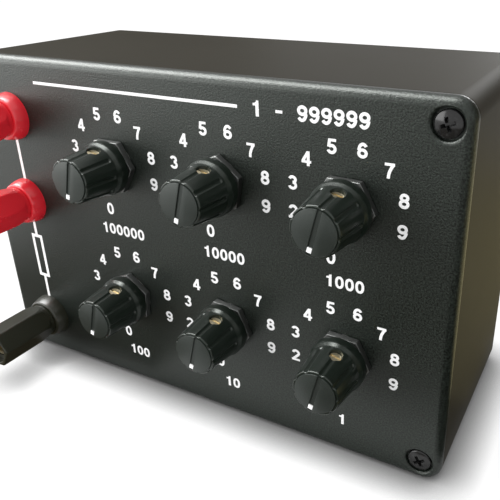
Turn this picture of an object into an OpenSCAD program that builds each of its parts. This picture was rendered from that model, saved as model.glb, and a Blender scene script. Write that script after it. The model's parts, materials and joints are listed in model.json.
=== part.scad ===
// Resistance substitution box: a moulded case with a screwed lid, six rotary decade
// switches with fluted knobs, and three screw terminal posts wired behind the lid.
// Millimetres. X runs to the right, Y to the back and Z up. The box stands on its
// lower long wall at z = 0, and its lid faces the front.

/* [Case and lid] */
// Width of the box, left to right
box_w = 152; // [140:1:180]
// Height of the box as it stands
box_h = 100; // [92:1:120]
// Depth of the box with its lid, front to back
box_d = 63.5; // [56:0.5:90]
// Thickness of the lid plate
lid_t = 3; // [2.6:0.1:4]
// Thickness of the case walls
wall_t = 2.5; // [2:0.1:3.5]
// Radius of the four corners seen from the front
corner_r = 5; // [4:0.5:9]
// Round-over of the lid's front edge
lid_edge_r = 2.4; // [1:0.1:2.6]
// Round-over of the case's back edge
back_edge_r = 2.8; // [1:0.1:3]
// How far the lid's locating lip reaches into the case
lip_h = 2; // [1:0.1:3]
// Thickness of the locating lip
lip_t = 1.5; // [1:0.1:2.5]
// Gap between the lip and the case wall
lip_gap = 0.15; // [0.1:0.05:0.3]
// Radius of the screw pillars in the case
pillar_r = 4.2; // [3.8:0.1:5]

/* [Lid screws] */
// Distance of each screw from the two nearest edges of the box
screw_inset = 5.7; // [5:0.1:6.5]
// Radius of the screw's thread
screw_r = 1.5; // [1.3:0.05:1.7]
// Length of the screw under its head
screw_l = 14; // [8:1:20]
// Radius of the screw head
head_r = 3.1; // [2.8:0.1:3.4]
// Height of the screw head
head_h = 1.4; // [1:0.1:1.6]
// Depth of the cross recess in the head
cross_depth = 0.9; // [0.5:0.1:1]
// Width of one arm of the cross recess
cross_w = 0.8; // [0.5:0.1:1.2]
// Length of the cross recess from end to end
cross_l = 3.6; // [2.4:0.1:4.2]
// Depth of the round recess that holds the head
recess_depth = 1.6; // [1.4:0.1:2]
// Gap around the screw head in its recess
head_gap = 0.6; // [0.3:0.1:0.9]
// Gap around the screw's thread in the lid
screw_gap = 0.2; // [0.1:0.05:0.4]
// Gap between the screw's thread and its pillar
thread_gap = 0.04; // [0.02:0.01:0.08]

/* [Decade layout] */
// Spacing of the knobs along a row
pitch_x = 35.1; // [32:0.1:40]
// Spacing of the two rows
pitch_y = 41.6; // [36:0.1:44]
// Middle of the knob field, to the right of the box's middle
field_x = 13.4; // [10:0.1:16]
// Width of the box that field_x is counted on: a wider box carries the field to the right
field_box_w = 152; // [140:1:180]
// Middle of the knob field, above the floor
field_y = 52.1; // [46:0.1:56]
// Height of the box that field_y is counted on: a taller box lifts the field by half
field_box_h = 100; // [92:1:120]
// Angle between two positions of a switch
step_deg = 30; // [24:1:36]
// Direction of position zero, clockwise from the top
zero_deg = 195; // [180:1:210]

/* [Switches] */
// Radius of the switch housing
housing_r = 12.8; // [11.5:0.1:14]
// Length of the housing behind the lid
housing_l = 14; // [12:0.5:18]
// Radius of the threaded bush through the lid
bush_r = 5; // [4.6:0.05:5.2]
// Gap around the bush in the lid, the washer and the nut
bush_gap = 0.06; // [0.04:0.01:0.2]
// Height of the bush's end past its nut
bush_past = 0.4; // [0.2:0.1:0.6]
// Thickness of the washer on the lid
washer_t = 0.3; // [0.2:0.1:0.6]
// Radius of the washer
washer_r = 6.8; // [6.4:0.1:7]
// Width of the hexagon nut across its flats
nut_af = 14; // [13:0.5:14.5]
// Thickness of the nut
nut_t = 1.8; // [1.4:0.1:2.2]
// Slope of the chamfer on the nut's front corners, in degrees
nut_slope = 15; // [15:5:40]
// Radius of the turning shaft
shaft_r = 3; // [2.8:0.05:3.1]
// Running gap around the shaft in its bush
shaft_gap = 0.04; // [0.02:0.01:0.08]
// Radius of the contact rotor
rotor_r = 9; // [7:0.1:9.6]
// Thickness of the contact rotor
rotor_t = 2; // [1:0.1:2.6]
// Free space around the rotor
rotor_gap = 0.6; // [0.3:0.1:1]
// Thickness of the rear contact wafer
wafer_t = 1.6; // [1:0.1:2]
// Radius of the circle of solder tags, also of the resistors
tag_ring_r = 10.4; // [9:0.1:11]
// Width of a solder tag
tag_w = 1.4; // [1:0.1:1.8]
// Thickness of a solder tag
tag_t = 0.5; // [0.3:0.1:0.8]
// Length of a solder tag behind its wafer
tag_l = 4.5; // [3:0.1:6]

/* [Resistors and wires] */
// Radius of a resistor's body
resistor_r = 1.2; // [0.9:0.05:1.3]
// Length of a resistor's body
resistor_l = 6.4; // [5:0.1:8]
// Radius of a resistor's leads
lead_r = 0.3; // [0.2:0.05:0.4]
// Length of a resistor's lead
lead_l = 1.4; // [0.8:0.1:2.5]
// Radius of the fixed resistor's body
fixed_r = 2; // [1.5:0.1:2.5]
// Length of the fixed resistor's body
fixed_l = 11; // [8:0.5:14]
// How far the fixed resistor stands behind its tags
fixed_stand = 6; // [4:0.5:8]
// Radius of a hook-up wire
wire_r = 0.7; // [0.5:0.05:0.9]
// Distance between two layers of wires
wire_layer = 3; // [2.5:0.1:4]
// Radius of the bends in wires and leads
bend_r = 2; // [1.2:0.1:2.4]

/* [Knobs] */
// Gap between a knob and the nut under it
knob_gap = 0.3; // [0.2:0.1:0.6]
// Height of a knob's rim over the lid
rim_h = 2.8; // [2.7:0.1:3.4]
// Radius of the rim
rim_r = 7.5; // [7.2:0.1:8]
// Height of the foot of the skirt
skirt_h = 4.8; // [3.6:0.1:5.2]
// Radius of the foot of the skirt
skirt_r = 7.5; // [7:0.1:7.8]
// Height where the skirt meets the fluted grip
grip_h = 6; // [5.2:0.1:7]
// Radius of the grip at its foot
grip_r = 6.95; // [6.4:0.05:7.2]
// Radius of the grip at its front end
grip_front_r = 6.05; // [5.8:0.05:7]
// Height of the grip's front end over the lid
knob_h = 16; // [14.5:0.1:20]
// Chamfer of the grip's front end
knob_chamfer = 0.3; // [0.1:0.1:0.4]
// Number of flutes around the grip
flutes = 9; // [6:1:12]
// Radius of a flute
flute_r = 0.8; // [0.5:0.05:1]
// Depth of a flute
flute_depth = 0.42; // [0.3:0.05:0.55]
// Room over the bush's end in the hollow under the knob
hollow_room = 0.5; // [0.3:0.1:0.8]
// Room around the bush's end in that hollow
bush_room = 0.45; // [0.3:0.05:0.6]
// Gap between the knob's bore and the shaft
bore_gap = 0.04; // [0.02:0.01:0.08]
// How deep the shaft's end stands below the knob cap's seat
shaft_short = 2.4; // [1:0.1:4]
// Thickness of the cap disc in the knob's front
cap_t = 1; // [0.8:0.1:1.4]
// How far the cap disc stands out of the grip
cap_out = 0.3; // [0.1:0.1:0.5]
// Radius of the cap disc
cap_r = 5.4; // [5:0.05:5.7]
// Gap around the cap disc in its seat
cap_gap = 0.05; // [0.02:0.01:0.1]
// Width of the line across the cap disc
line_w = 1.2; // [0.5:0.1:1.6]
// Depth of that line
line_depth = 0.3; // [0.2:0.05:0.6]
// Height of the grub screw over the lid
grub_h = 8.1; // [7:0.1:9]
// Radius of the grub screw
grub_r = 1.5; // [1.4:0.1:2.2]
// Length of the grub screw
grub_l = 3; // [1.5:0.1:3.4]
// Width of the grub screw's slot
grub_slot = 0.6; // [0.4:0.1:0.9]
// Extra radius of the hole outside the grub screw
grub_mouth = 0.3; // [0.2:0.1:0.6]

/* [Terminal posts] */
// Distance of the posts from the left side of the box
post_side = 16.2; // [14:0.1:20]
// Height of the lower post over the floor
post_low = 14.2; // [12:0.1:16]
// Height of the middle post over the floor
post_mid = 55.9; // [46:0.1:60]
// Distance of the upper post below the top of the box
post_drop = 17.5; // [14:0.1:20]
// Radius of a collar on the lid
collar_r = 7.1; // [6.2:0.1:7.6]
// Radius of a collar's front
collar_front_r = 6.2; // [5.6:0.1:6.8]
// Height of a collar
collar_h = 4; // [3:0.1:5]
// Radius of the collar's spigot in the lid
spigot_r = 4; // [3.8:0.1:4.6]
// Gap around the spigot in the lid
spigot_gap = 0.06; // [0.04:0.01:0.2]
// Radius of the brass stud
stud_r = 3; // [2.8:0.1:3.2]
// Gap around the stud in what it passes through
stud_gap = 0.04; // [0.02:0.01:0.08]
// Radius of the plug bore in the stud
plug_r = 2.03; // [2.01:0.01:2.1]
// Depth of the plug bore
plug_depth = 24; // [18:0.5:26]
// How far the stud's end stands below the cap's front
stud_sunk = 2.4; // [0.4:0.1:4]
// Gap between a screwed-down cap and its collar
seat_gap = 0.2; // [0.1:0.05:0.3]
// Radius of the cap's neck
neck_r = 5.3; // [5.2:0.1:5.6]
// Height of the cap's neck
neck_h = 1.1; // [0.6:0.1:1.6]
// Height of the cap's shoulder
ring_h = 3.2; // [2:0.1:4]
// Radius of the cap
grip_cap_r = 6.1; // [5.8:0.1:6.6]
// Height of the cap's front over the lid
cap_front = 23.6; // [20:0.1:26]
// Number of flats around a screw cap
cap_flats = 6; // [5:1:8]
// Direction of a cap's first flat, anticlockwise from the right, in degrees
cap_turn = 33; // [0:1:60]
// Radius of the cap's shoulder where it meets the neck
shoulder_r = 5.45; // [5.4:0.05:6]
// Depth of a flat under the ridges
flat_depth = 0.7; // [0.3:0.05:0.8]
// Chamfer of the cap's front
cap_chamfer = 0.4; // [0.2:0.1:0.6]
// Radius of the shallow dish in the cap's front
dish_r = 4.7; // [3.6:0.1:5]
// Depth of the dish
dish_depth = 2.2; // [0.4:0.1:3]
// Wall of the brass sleeve in the cap
sleeve_wall = 1.2; // [0.8:0.1:1.4]
// Length of the brass sleeve
sleeve_l = 8; // [6:0.1:10]
// Gap between the sleeve and the cap around it
sleeve_gap = 0.05; // [0.03:0.01:0.1]
// Gap between the cap and the stud in front of the sleeve
cap_stud_gap = 0.3; // [0.2:0.1:0.5]
// Thickness of the insulating bush behind the lid
washer_back_t = 2; // [1.5:0.1:3]
// Radius of the insulating bush
washer_back_r = 6.2; // [5.6:0.1:6.6]
// Thickness of the solder tag behind the bush
lug_t = 0.6; // [0.4:0.1:0.8]
// Radius of the ring of the solder tag
lug_r = 5; // [4.6:0.1:5.6]
// Width of the solder tag
lug_w = 3.4; // [3:0.1:4.4]
// Room between the post nut and the fixed resistor's lead
lead_room = 0.5; // [0.3:0.1:1]
// Room between that lead and the wire beside it
wire_room = 3; // [1:0.1:4]
// How far the solder tag runs on past its wire
lug_past = 0.7; // [0.3:0.1:1.5]
// Width of the post nut across its flats
post_nut_af = 10; // [9:0.5:11]
// Thickness of the post nut
post_nut_t = 3; // [2:0.1:4]
// How far the stud stands behind its nut
stud_past = 1.5; // [0.5:0.1:3]

/* [Hidden] */

// Smoothness of true rounds, and of rounds that are blended
$fn = 64;
blend_fn = 32;
// Small overlap that lets a cut pass through a face
cut = 0.1;
// Positions of a decade, zero to nine
positions = 10;
// Columns and rows of the knob field
columns = 3;
rows = 2;
decades = columns * rows;

// Heights are counted from the lid's front face, outward
lid_back = -lid_t;
wafer_front = lid_back - housing_l;
wafer_back = wafer_front - wafer_t;
tag_end = wafer_back - tag_l;
wire_floor = min(tag_end, wafer_back - resistor_l - 2 * lead_l) - wire_layer;
nut_front = washer_t + nut_t;
knob_foot = nut_front + knob_gap;
bush_end = nut_front + bush_past;
nut_corner_r = nut_af / 2 / cos(30);
// How far each switch's nut came to rest from having a corner at the right, in degrees
nut_turns = [0, 22, 59, 24, 53, 57];
hollow_h = bush_end + hollow_room;
hollow_r = bush_r + bush_room;
cap_seat = knob_h + cap_out - cap_t;
shaft_end = cap_seat - shaft_short;
grip_taper = atan((grip_r - grip_front_r) / (knob_h - knob_chamfer - grip_h));
rotor_back = wafer_front + rotor_gap;
rotor_front = rotor_back + rotor_t;
lug_back = lid_back - washer_back_t - lug_t;
nut_back = lug_back - post_nut_t;
stud_front = cap_front - stud_sunk;
cap_back = collar_h + seat_gap;
// The line on a knob points at zero, and the grub screw is at its other end
tail_deg = 90 - zero_deg + 180;
// Where the fixed resistor and the wires meet a post's solder tag, from the post's middle
post_nut_r = post_nut_af / 2 / cos(30);
lug_lead_x = post_nut_r + lead_room + lead_r;
lug_wire_x = lug_lead_x + lead_r + wire_room + wire_r;
lug_l = lug_wire_x + wire_r + lug_past;

case_black = [0.09, 0.095, 0.09];
lid_black = [0.12, 0.125, 0.12];
knob_black = [0.05, 0.055, 0.05];
cap_grey = [0.22, 0.23, 0.22];
post_red = [0.75, 0.08, 0.1];
post_black = [0.06, 0.06, 0.055];
brass = [0.78, 0.62, 0.3];
plated = [0.75, 0.75, 0.74];
board = [0.45, 0.3, 0.16];
blue = [0.35, 0.55, 0.7];

// The knob field keeps its distance from the right-hand end of the box, and its level on the lid
field_mid = field_x + (box_w - field_box_w) / 2;
field_level = field_y + (box_h - field_box_h) / 2;
// Middle of the knob of each decade, counted along the rows from the upper left
function decade_at(i) = [
    field_mid + (i % columns - (columns - 1) / 2) * pitch_x,
    field_level + ((rows - 1) / 2 - floor(i / columns)) * pitch_y
];
// A point at a clockwise angle from the top
function clock(deg, r) = [r * sin(deg), r * cos(deg)];
// Middle of one solder tag of a decade
function tag_at(i, k) = decade_at(i) + clock(zero_deg + k * step_deg, tag_ring_r);
// Middle of each post
post_x = post_side - box_w / 2;
post_at = [[post_x, box_h - post_drop], [post_x, post_mid], [post_x, post_low]];

// Lays the panel's frame (right, up, out of the panel) into the standing box
module stand() {
    translate([0, -box_d / 2, 0])
        rotate([90, 0, 0])
            children();
}

module at(point, z) {
    translate([point[0], point[1], z])
        children();
}

// Round bar between two heights
module bar(r, from, to) {
    translate([0, 0, from])
        cylinder(h = to - from, r = r);
}

module ring(outer, inner, from, to) {
    difference() {
        bar(outer, from, to);
        bar(inner, from - cut, to + cut);
    }
}

module hex_ring(outer, inner, from, to) {
    difference() {
        translate([0, 0, from])
            cylinder(h = to - from, r = outer, $fn = 6);
        bar(inner, from - cut, to + cut);
    }
}

module at_corners(inset) {
    for (x = [-1, 1])
        for (y = [inset, box_h - inset])
            translate([x * (box_w / 2 - inset), y, 0])
                children();
}

// Upright corner with one rounded end, at height zero
module corner_post(r, edge, h) {
    soft = min(edge, r / 2, h - cut);
    rotate_extrude($fn = blend_fn) intersection() {
        square([r, h]);
        union() {
            square([r - soft, h]);
            translate([0, soft])
                square([r, h - soft]);
            translate([r - soft, soft])
                circle(soft, $fn = blend_fn);
        }
    }
}

module case_body() {
    inner_r = max(corner_r - wall_t, wall_t);
    color(case_black) stand() difference() {
        hull()
            at_corners(corner_r)
                translate([0, 0, -box_d])
                    corner_post(corner_r, back_edge_r, box_d - lid_t);
        difference() {
            hull()
                at_corners(wall_t + inner_r)
                    translate([0, 0, wall_t - box_d])
                        cylinder(h = box_d, r = inner_r, $fn = blend_fn);
            at_corners(screw_inset)
                bar(pillar_r, -box_d, wall_t);
        }
        at_corners(screw_inset)
            bar(screw_r + thread_gap, lid_back - screw_l, lid_back + cut);
    }
}

// Locating lip along one side of the lid
module lip(length, thickness) {
    translate([-length / 2, -thickness / 2, lid_back - lip_h])
        cube([length, thickness, lip_h + lid_t / 2]);
}

module front_lid() {
    edge = wall_t + lip_gap + lip_t / 2;
    clear = 2 * (screw_inset + pillar_r + lip_t);
    color(lid_black) stand() difference() {
        union() {
            hull()
                at_corners(corner_r)
                    mirror([0, 0, 1])
                        corner_post(corner_r, lid_edge_r, lid_t);
            for (y = [edge, box_h - edge])
                translate([0, y, 0])
                    lip(box_w - clear, lip_t);
            for (x = [-1, 1])
                translate([x * (box_w / 2 - edge), box_h / 2, 0])
                    rotate([0, 0, 90])
                        lip(box_h - clear, lip_t);
        }
        at_corners(screw_inset) {
            bar(screw_r + screw_gap, lid_back - cut, cut);
            bar(head_r + head_gap, -recess_depth, cut);
        }
        for (i = [0 : decades - 1])
            at(decade_at(i), 0)
                bar(bush_r + bush_gap, lid_back - cut, cut);
        for (p = post_at)
            at(p, 0)
                bar(spigot_r + spigot_gap, lid_back - cut, cut);
    }
}

module lid_screws() {
    top = head_h - recess_depth;
    color(knob_black) stand() at_corners(screw_inset) difference() {
        union() {
            bar(screw_r, -recess_depth - screw_l, cut - recess_depth);
            rotate_extrude()
                polygon([
                    [0, -recess_depth],
                    [head_r, -recess_depth],
                    [head_r, top - head_h / 2],
                    [head_r - head_h / 2, top],
                    [0, top]
                ]);
        }
        for (turn = [0, 90])
            rotate([0, 0, turn])
                translate([-cross_l / 2, -cross_w / 2, top - cross_depth])
                    cube([cross_l, cross_w, cross_depth + cut]);
    }
}

module switch_housing(i) {
    hollow_top = rotor_front + rotor_gap;
    color(board) stand() at(decade_at(i), 0) difference() {
        union() {
            bar(housing_r, wafer_front, lid_back);
            bar(bush_r, lid_back - cut, bush_end);
        }
        bar(shaft_r + shaft_gap, wafer_front - cut, bush_end + cut);
        bar(rotor_r + rotor_gap, wafer_front - cut, hollow_top);
    }
}

module shaft(i) {
    color(plated) stand() at(decade_at(i), 0) {
        bar(shaft_r, rotor_back, shaft_end);
        bar(rotor_r, rotor_back, rotor_front);
    }
}

// Hole or screw that points at the shaft from the side of a knob
module from_side(from, to, r) {
    rotate([0, 0, tail_deg])
        translate([from, 0, grub_h])
            rotate([0, 90, 0])
                cylinder(h = to - from, r = r);
}

module knob(i) {
    grub_end = shaft_r + bore_gap + grub_l;
    color(knob_black) stand() at(decade_at(i), 0) difference() {
        rotate_extrude()
            polygon([
                [0, knob_foot],
                [rim_r, knob_foot],
                [rim_r, rim_h],
                [skirt_r, skirt_h],
                [grip_r, grip_h],
                [grip_front_r, knob_h - knob_chamfer],
                [grip_front_r - knob_chamfer, knob_h],
                [0, knob_h]
            ]);
        bar(hollow_r, knob_foot - cut, hollow_h);
        bar(shaft_r + bore_gap, hollow_h - cut, shaft_end + bore_gap);
        bar(cap_r + cap_gap, cap_seat, knob_h + cut);
        for (k = [0 : flutes - 1])
            rotate([0, 0, tail_deg + k * 360 / flutes])
                translate([grip_r - flute_depth + flute_r, 0, grip_h + flute_r]) {
                    rotate([0, -grip_taper, 0])
                        cylinder(h = knob_h, r = flute_r);
                    sphere(flute_r);
                }
        from_side(0, grub_end + cut, grub_r + bore_gap);
        from_side(grub_end, rim_r, grub_r + grub_mouth);
    }
}

module knob_cap(i) {
    color(cap_grey) stand() at(decade_at(i), 0) difference() {
        bar(cap_r, cap_seat, cap_seat + cap_t);
        rotate([0, 0, tail_deg])
            translate([-cap_r - cut, -line_w / 2, cap_seat + cap_t - line_depth])
                cube([2 * (cap_r + cut), line_w, line_depth + cut]);
    }
}

module grub_screw(i) {
    from = shaft_r + bore_gap / 2;
    color(brass) stand() at(decade_at(i), 0) difference() {
        from_side(from, from + grub_l, grub_r);
        rotate([0, 0, tail_deg])
            translate([from + grub_l - grub_slot, -grub_r - cut, grub_h - grub_slot / 2])
                cube([grub_slot + cut, 2 * (grub_r + cut), grub_slot]);
    }
}

// What the chamfer takes off the corners of a switch's nut
module nut_corners(inner, outer) {
    rotate_extrude()
        polygon([
            [inner, nut_front],
            [outer, nut_front - (outer - inner) * tan(nut_slope)],
            [outer, nut_front + cut],
            [inner, nut_front + cut]
        ]);
}

module switch_nuts() {
    color(plated) stand() for (i = [0 : decades - 1])
        at(decade_at(i), 0)
            rotate([0, 0, nut_turns[i]])
                difference() {
                    hex_ring(nut_corner_r, bush_r + bush_gap, washer_t, nut_front);
                    nut_corners(nut_af / 2 + cut, nut_corner_r + cut);
                }
}

module switch_washers() {
    color(plated) stand() for (i = [0 : decades - 1])
        at(decade_at(i), 0)
            ring(washer_r, bush_r + bush_gap, 0, washer_t);
}

module switch_wafers() {
    color(board) stand() for (i = [0 : decades - 1])
        at(decade_at(i), 0)
            bar(housing_r, wafer_back, wafer_front);
}

module switch_tag() {
    translate([-tag_t / 2, -tag_w / 2, tag_end])
        cube([tag_t, tag_w, tag_l]);
}

module switch_tags() {
    color(plated) stand() for (i = [0 : decades - 1]) {
        at(decade_at(i), 0)
            switch_tag();
        for (k = [0 : positions - 1])
            at(tag_at(i, k), 0)
                rotate([0, 0, -zero_deg - k * step_deg])
                    switch_tag();
    }
}

// Resistor along a line, from its first lead's end to its last
module resistor(body_r, body_l, lead_length) {
    bar(lead_r, 0, 2 * lead_length + body_l);
    bar(body_r, lead_length, lead_length + body_l);
}

module decade_resistors() {
    color(blue) stand() for (i = [0 : decades - 1])
        for (k = [0 : positions - 2])
            at(tag_at(i, k + 0.5), wafer_back)
                mirror([0, 0, 1])
                    resistor(resistor_r, resistor_l, lead_l);
}

// Quarter turn of a wire, in the plane of its run and the depth
module elbow(turn, r) {
    rotate([90, 0, 0])
        rotate([0, 0, turn])
            rotate_extrude(angle = 90)
                translate([bend_r, 0])
                    circle(r);
}

// Wire that leaves one place, crosses at a depth and rises to another
module link(first, first_z, last, last_z, depth, r) {
    run = last - first;
    turn_z = depth + bend_r;
    at(first, 0) rotate([0, 0, atan2(run[1], run[0])]) {
        bar(r, turn_z, first_z);
        translate([bend_r, 0, turn_z])
            elbow(180, r);
        translate([0, 0, depth])
            rotate([0, 90, 0])
                bar(r, bend_r, norm(run) - bend_r);
        translate([norm(run) - bend_r, 0, turn_z])
            elbow(270, r);
        translate([norm(run), 0, 0])
            bar(r, turn_z, last_z);
    }
}

module fixed_resistor() {
    depth = lug_back - fixed_stand;
    x = post_x + lug_lead_x;
    middle = (post_low + post_mid) / 2;
    color(blue) stand() {
        link([x, post_low], lug_back, [x, post_mid], lug_back, depth, lead_r);
        translate([x, middle + fixed_l / 2, depth])
            rotate([90, 0, 0])
                cylinder(h = fixed_l, r = fixed_r);
    }
}

module wire_in() {
    lug = post_at[0] + [lug_wire_x, 0];
    color(post_red) stand()
        link(lug, lug_back, tag_at(0, 0), tag_end, wire_floor, wire_r);
}

// Each switch's middle tag goes to the first tag of the next, row ends a layer deeper
module wire_links() {
    color(post_black) stand() for (i = [0 : decades - 2]) {
        depth = wire_floor - (i % columns == columns - 1 ? wire_layer : 0);
        link(decade_at(i), tag_end, tag_at(i + 1, 0), tag_end, depth, wire_r);
    }
}

module wire_out() {
    lug = post_at[1] + [lug_wire_x, 0];
    depth = wire_floor - 2 * wire_layer;
    color(post_red) stand()
        link(decade_at(decades - 1), tag_end, lug, lug_back, depth, wire_r);
}

module post_collar(k, shade) {
    color(shade) stand() at(post_at[k], 0) difference() {
        rotate_extrude()
            polygon([
                [0, lid_back],
                [spigot_r, lid_back],
                [spigot_r, 0],
                [collar_r, 0],
                [collar_front_r, collar_h],
                [0, collar_h]
            ]);
        bar(stud_r + stud_gap, lid_back - cut, collar_h + cut);
    }
}

module post_stud(k) {
    color(brass) stand() at(post_at[k], 0) difference() {
        bar(stud_r, nut_back - stud_past, stud_front);
        bar(plug_r, stud_front - plug_depth, stud_front + cut);
    }
}

module post_sleeve(k) {
    inner = stud_r + stud_gap;
    color(brass) stand() at(post_at[k], 0)
        ring(inner + sleeve_wall, inner, cap_back, cap_back + sleeve_l);
}

module post_cap(k, shade) {
    sleeve_r = stud_r + stud_gap + sleeve_wall;
    color(shade) stand() at(post_at[k], 0) difference() {
        rotate_extrude()
            polygon([
                [0, cap_back],
                [neck_r, cap_back],
                [neck_r, cap_back + neck_h],
                [shoulder_r, cap_back + neck_h],
                [grip_cap_r, cap_back + neck_h + ring_h],
                [grip_cap_r, cap_front - cap_chamfer],
                [grip_cap_r - cap_chamfer, cap_front],
                [0, cap_front]
            ]);
        bar(sleeve_r + sleeve_gap, cap_back - cut, cap_back + sleeve_l + sleeve_gap);
        bar(stud_r + cap_stud_gap, cap_back, cap_front + cut);
        bar(dish_r, cap_front - dish_depth, cap_front + cut);
        for (n = [0 : cap_flats - 1])
            rotate([0, 0, cap_turn + n * 360 / cap_flats])
                translate([grip_cap_r - flat_depth, -grip_cap_r, cap_back])
                    cube([grip_cap_r, 2 * grip_cap_r, cap_front]);
    }
}

module post_bushes() {
    color(post_black) stand() for (p = post_at)
        at(p, 0)
            ring(washer_back_r, stud_r + stud_gap, lid_back - washer_back_t, lid_back);
}

module post_lugs() {
    color(plated) stand() for (p = post_at)
        at(p, 0) difference() {
            union() {
                bar(lug_r, lug_back, lug_back + lug_t);
                translate([0, -lug_w / 2, lug_back])
                    cube([lug_l, lug_w, lug_t]);
            }
            bar(stud_r + stud_gap, lug_back - cut, lug_back + lug_t + cut);
        }
}

module post_nuts() {
    color(plated) stand() for (p = post_at)
        at(p, 0)
            hex_ring(post_nut_r, stud_r + stud_gap, nut_back, lug_back);
}

case_body();
front_lid();
lid_screws();
switch_housing(0);  // switch_100k
switch_housing(1);  // switch_10k
switch_housing(2);  // switch_1k
switch_housing(3);  // switch_100r
switch_housing(4);  // switch_10r
switch_housing(5);  // switch_1r
shaft(0);  // shaft_100k
shaft(1);  // shaft_10k
shaft(2);  // shaft_1k
shaft(3);  // shaft_100r
shaft(4);  // shaft_10r
shaft(5);  // shaft_1r
knob(0);  // knob_100k
knob(1);  // knob_10k
knob(2);  // knob_1k
knob(3);  // knob_100r
knob(4);  // knob_10r
knob(5);  // knob_1r
knob_cap(0);  // knob_cap_100k
knob_cap(1);  // knob_cap_10k
knob_cap(2);  // knob_cap_1k
knob_cap(3);  // knob_cap_100r
knob_cap(4);  // knob_cap_10r
knob_cap(5);  // knob_cap_1r
grub_screw(0);  // grub_screw_100k
grub_screw(1);  // grub_screw_10k
grub_screw(2);  // grub_screw_1k
grub_screw(3);  // grub_screw_100r
grub_screw(4);  // grub_screw_10r
grub_screw(5);  // grub_screw_1r
switch_nuts();
switch_washers();
switch_wafers();
switch_tags();
decade_resistors();
fixed_resistor();
wire_in();
wire_links();
wire_out();
post_collar(0, post_red);  // post_collar_high
post_collar(1, post_red);  // post_collar_mid
post_collar(2, post_black);  // post_collar_low
post_stud(0);  // post_stud_high
post_stud(1);  // post_stud_mid
post_stud(2);  // post_stud_low
post_sleeve(0);  // post_sleeve_high
post_sleeve(1);  // post_sleeve_mid
post_sleeve(2);  // post_sleeve_low
post_cap(0, post_red);  // post_cap_high
post_cap(1, post_red);  // post_cap_mid
post_cap(2, post_black);  // post_cap_low
post_bushes();
post_lugs();
post_nuts();
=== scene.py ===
"""Looks of a resistance substitution box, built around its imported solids.

The frame gives every place and size. Panel pieces are modelled in millimetres on the
lid's own plane (x to the right, y up from the floor, z out of the lid) and are then
laid into the standing box.
"""

import json
import math

import bmesh
import bpy
from mathutils import Matrix, Vector


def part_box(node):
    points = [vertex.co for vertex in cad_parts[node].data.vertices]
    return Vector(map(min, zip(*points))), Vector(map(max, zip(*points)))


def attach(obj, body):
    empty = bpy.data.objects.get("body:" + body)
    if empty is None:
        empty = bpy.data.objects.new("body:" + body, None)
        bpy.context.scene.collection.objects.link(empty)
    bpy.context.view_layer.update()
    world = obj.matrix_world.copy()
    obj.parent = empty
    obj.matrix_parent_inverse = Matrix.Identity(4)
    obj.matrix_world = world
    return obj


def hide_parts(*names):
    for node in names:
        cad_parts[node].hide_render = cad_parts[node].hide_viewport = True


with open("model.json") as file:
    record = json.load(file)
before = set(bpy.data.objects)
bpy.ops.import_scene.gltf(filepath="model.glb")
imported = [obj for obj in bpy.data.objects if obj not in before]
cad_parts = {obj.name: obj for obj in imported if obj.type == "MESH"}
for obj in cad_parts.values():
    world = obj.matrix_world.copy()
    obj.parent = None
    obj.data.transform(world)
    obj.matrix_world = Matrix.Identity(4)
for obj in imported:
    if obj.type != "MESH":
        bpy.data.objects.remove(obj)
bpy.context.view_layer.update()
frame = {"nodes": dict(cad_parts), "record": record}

bl_info = {
    "name": "Resistance substitution box",
    "version": (1, 0, 0),
    "blender": (4, 5, 0),
    "location": "View3D > Sidebar > Decade box",
    "description": "Models the finished pieces of a boxed bench resistor around its solids",
    "category": "Object",
}

MM = 0.001
DECADES = ("100k", "10k", "1k", "100r", "10r", "1r")
POSTS = ("high", "mid", "low")
POSITIONS = 10

LID_LOW, LID_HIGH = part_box("front_lid")
CASE_LOW, CASE_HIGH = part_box("case_body")
PANEL = (
    Matrix.Translation((0, LID_LOW.y, LID_LOW.z))
    @ Matrix.Rotation(math.radians(90), 4, "X")
    @ Matrix.Scale(MM, 4)
)
BOX_W = (LID_HIGH.x - LID_LOW.x) / MM
BOX_H = (LID_HIGH.z - LID_LOW.z) / MM
LID_BACK = (LID_LOW.y - CASE_LOW.y) / MM
CASE_BACK = (LID_LOW.y - CASE_HIGH.y) / MM


def on_panel(node):
    """Middle of a node on the lid's plane."""
    low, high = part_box(node)
    return Vector(((low.x + high.x) / 2 / MM, ((low.z + high.z) / 2 - LID_LOW.z) / MM))


# Settings


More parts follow.
